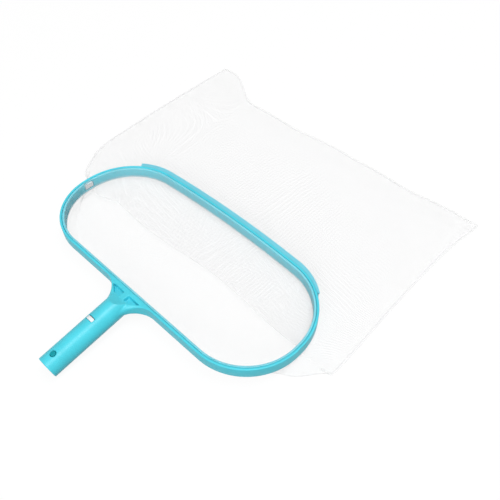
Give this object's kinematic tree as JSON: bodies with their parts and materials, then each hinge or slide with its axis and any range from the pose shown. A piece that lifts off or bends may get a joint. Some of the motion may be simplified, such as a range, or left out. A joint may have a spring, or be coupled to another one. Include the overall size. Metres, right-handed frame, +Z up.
{
  "type": "leaf skimmer net",
  "caption": "Pool leaf skimmer: an oval hoop with a flat mesh bag trapped in its rail, a front lip, and a short sleeve with a sprung button clip for a telescopic pole.",
  "frame": {"origin": "on the table the net lies on, straight below the middle of the hoop", "axes": "+Z up, +Y from the sleeve across the hoop towards the bag's bottom seam, X along the hoop's length"},
  "size_m": [0.5258, 0.5684, 0.0394],
  "materials": {
    "frame_plastic": "glossy moulded polypropylene, aqua",
    "lip_plastic": "softer moulded plastic, pale aqua",
    "clip_plastic": "springy acetal, darker aqua",
    "plug_plastic": "natural nylon, white",
    "bag_mesh": "fine white polyester mesh, see-through",
    "seam_tape": "white woven binding tape"
  },
  "bodies": {
    "net_head": {"hoop_rail": "frame_plastic", "handle_sleeve": "frame_plastic", "retaining_ring": "frame_plastic", "front_lip": "lip_plastic", "mouth_hem": "seam_tape", "clip_bow": "clip_plastic", "clip_anchor_plug": "plug_plastic", "bag_near_panel": "bag_mesh", "bag_far_panel": "bag_mesh", "side_seam_left": "seam_tape", "side_seam_right": "seam_tape", "bottom_seam": "seam_tape"},
    "upper_button_arm": {"clip_arm_upper": "clip_plastic"},
    "lower_button_arm": {"clip_arm_lower": "clip_plastic"}
  },
  "joints": [
    {"name": "upper_button_press", "type": "hinge", "parent": "net_head", "child": "upper_button_arm", "pos_m": [0, -0.14426, 0.02435], "axis": [1, 0, 0], "range_deg": [0, 4.4], "stiffness_Nm_per_rad": 5},
    {"name": "lower_button_press", "type": "hinge", "parent": "net_head", "child": "lower_button_arm", "pos_m": [0, -0.14363, 0.01838], "axis": [-1, 0, 0], "range_deg": [0, 4.4], "stiffness_Nm_per_rad": 5}
  ]
}
